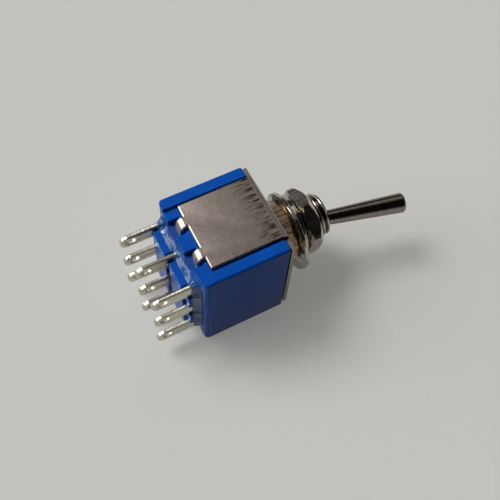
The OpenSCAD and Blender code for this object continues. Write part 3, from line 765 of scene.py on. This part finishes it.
class StageOperator(bpy.types.Operator):
    """Floor, light and camera"""
    bl_idname = "toggle_switch.stage"
    bl_label = "Stage"

    def execute(self, context):
        context.scene.view_settings.view_transform = "Standard"
        self.floor(context.scene)
        self.surroundings(context.scene)
        self.lamp(context.scene)
        self.camera(context.scene)
        return {"FINISHED"}

    def floor(self, scene):
        """Round sheet under the switch, which lies on its frame's lower cheek."""
        floor_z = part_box("frame")[0].z
        bm = bmesh.new()
        bmesh.ops.create_circle(bm, cap_ends=True, segments=96, radius=1.5,
                                matrix=Matrix.Translation((0, 0, floor_z)))
        floor = bpy.data.objects.new("floor", finished_mesh(bm, "floor"))
        scene.collection.objects.link(floor)
        # seen directly or in metal it is pale paper with light shadows, while what it throws back is subdued
        material, tree, surface = new_material("Paper, matt, pale", {"Roughness": 0.9})
        path = add_node(tree, "ShaderNodeLightPath")
        seen = add_node(tree, "ShaderNodeMath", {"operation": "ADD"},
                        {0: path.outputs["Is Camera Ray"], 1: path.outputs["Is Glossy Ray"]})
        seen = add_node(tree, "ShaderNodeMath", {"operation": "ADD", "use_clamp": True},
                        {0: seen.outputs[0], 1: path.outputs["Is Transmission Ray"]})
        pale = scene.switch_colours.floor
        paper = add_node(tree, "ShaderNodeMix", {"data_type": "RGBA", 6: grey(0.2), 7: tinted(pale, 0.66)},
                         {0: seen.outputs[0]})
        glow = add_node(tree, "ShaderNodeMath", {"operation": "MULTIPLY", 1: 0.32}, {0: seen.outputs[0]})
        surface.inputs["Emission Color"].default_value = pale
        tree.links.new(paper.outputs[2], surface.inputs["Base Color"])
        tree.links.new(glow.outputs[0], surface.inputs["Emission Strength"])
        floor.data.materials.append(material)

    def surroundings(self, scene):
        """Soft studio: pale walls, a window, a door and a card for the metal to mirror."""
        world = bpy.data.worlds.new("soft studio")
        scene.world = world
        world.use_nodes = True
        tree = world.node_tree
        tree.nodes.clear()
        place = add_node(tree, "ShaderNodeTexCoord")
        # pale walls behind and left of the switch, dimmer in front
        side = add_node(tree, "ShaderNodeVectorMath", {"operation": "DOT_PRODUCT", 1: (-0.42, 0.9, 0.1)},
                        {0: place.outputs["Generated"]})
        turned = add_node(tree, "ShaderNodeMapRange", {"From Min": -1.0, "From Max": 1.0},
                          {"Value": side.outputs["Value"]}).outputs["Result"]
        colour = ramp(tree, turned, [(0.0, grey(0.05)), (0.4, grey(0.12)), (0.67, hex_colour("B1ADA8")),
                                     (1.0, hex_colour("D2CEC8"))])
        # each is round: its direction, the cosines of its soft rim's outside and inside, and its shade
        window = ((-0.83, 0.4, 0.39), 0.915, 0.965, (4.4, 4.3, 4.15, 1))     # to the left
        door = ((0.3, 0.9, 0.3), 0.84, 0.93, grey(0.03))                     # dark, behind
        card = ((0.045, -0.47, 0.88), 0.66, 0.81, grey(0.006))               # black, over the front
        for direction, rim, core, shade in (window, door, card):
            toward = add_node(tree, "ShaderNodeVectorMath", {"operation": "DOT_PRODUCT", 1: direction},
                              {0: place.outputs["Generated"]})
            inside = add_node(tree, "ShaderNodeMapRange", {"From Min": rim, "From Max": core},
                              {"Value": toward.outputs["Value"]})
            mixed = add_node(tree, "ShaderNodeMix", {"data_type": "RGBA", 7: shade},
                             {0: inside.outputs["Result"], 6: colour})
            colour = mixed.outputs[2]
        # down by the floor's edge the surroundings are plain and pale all round
        split = add_node(tree, "ShaderNodeSeparateXYZ", links={"Vector": place.outputs["Generated"]})
        high = add_node(tree, "ShaderNodeMapRange", {"From Min": 0.15, "From Max": 0.21},
                        {"Value": split.outputs["Z"]})
        mixed = add_node(tree, "ShaderNodeMix", {"data_type": "RGBA", 6: grey(0.38)},
                         {0: high.outputs["Result"], 7: colour})
        sky = add_node(tree, "ShaderNodeBackground", {"Strength": 1.0}, {"Color": mixed.outputs[2]})
        add_node(tree, "ShaderNodeOutputWorld", links={"Surface": sky.outputs["Background"]})

    def lamp(self, scene):
        """One broad key lamp, high up behind the switch, on the terminals' side."""
        toward = Vector((-0.42, 0.61, 0.98)).normalized()
        key = bpy.data.lights.new("key", "SUN")
        key.energy = 2.1
        key.angle = math.radians(26)
        lamp = bpy.data.objects.new("key", key)
        lamp.rotation_euler = toward.to_track_quat("Z", "Y").to_euler()
        scene.collection.objects.link(lamp)

    def camera(self, scene):
        """Camera high up in front of the switch, on the terminals' side."""
        place = Vector((-26.603, -39.037, 83.851)) * MM
        ahead = Vector((0.24894, 0.40302, -0.88068)).normalized()
        up = Vector((0.39107, 0.79006, 0.47209)).normalized()
        camera = bpy.data.cameras.new("camera")
        camera.sensor_width = 36
        camera.lens = 52.94
        camera.shift_x = 0.0012
        camera.shift_y = -0.0021
        camera.clip_start = 0.002
        eye = bpy.data.objects.new("camera", camera)
        back = -ahead
        right = up.cross(back).normalized()
        turn = Matrix((right, back.cross(right), back)).transposed().to_4x4()
        eye.matrix_world = Matrix.Translation(place) @ turn
        scene.collection.objects.link(eye)
        scene.camera = eye


OPERATORS = (CaseOperator, FrameOperator, NeckOperator, NutsOperator, WashersOperator, LeverOperator,
             LugsOperator, ResinOperator, InsideOperator, StageOperator)


class SwitchPanel(bpy.types.Panel):
    """Lists the switch's values and the steps that make its pieces"""
    bl_idname = "VIEW3D_PT_toggle_switch"
    bl_label = "Toggle Switch"
    bl_space_type = "VIEW_3D"
    bl_region_type = "UI"
    bl_category = "Toggle Switch"

    def draw(self, context):
        for group in (context.scene.switch_sizes, context.scene.switch_colours):
            box = self.layout.box()
            for name in group.bl_rna.properties.keys():
                if name not in ("rna_type", "name"):
                    box.prop(group, name)
        column = self.layout.column(align=True)
        for operator in OPERATORS:
            column.operator(operator.bl_idname)


CLASSES = (SwitchSizes, SwitchColours) + OPERATORS + (SwitchPanel,)


def register():
    for cls in CLASSES:
        bpy.utils.register_class(cls)
    bpy.types.Scene.switch_sizes = bpy.props.PointerProperty(type=SwitchSizes)
    bpy.types.Scene.switch_colours = bpy.props.PointerProperty(type=SwitchColours)


def unregister():
    del bpy.types.Scene.switch_colours
    del bpy.types.Scene.switch_sizes
    for cls in reversed(CLASSES):
        bpy.utils.unregister_class(cls)


def main():
    register()
    for operator in OPERATORS:
        group, name = operator.bl_idname.split(".")
        getattr(getattr(bpy.ops, group), name)()


if __name__ == "__main__":
    main()
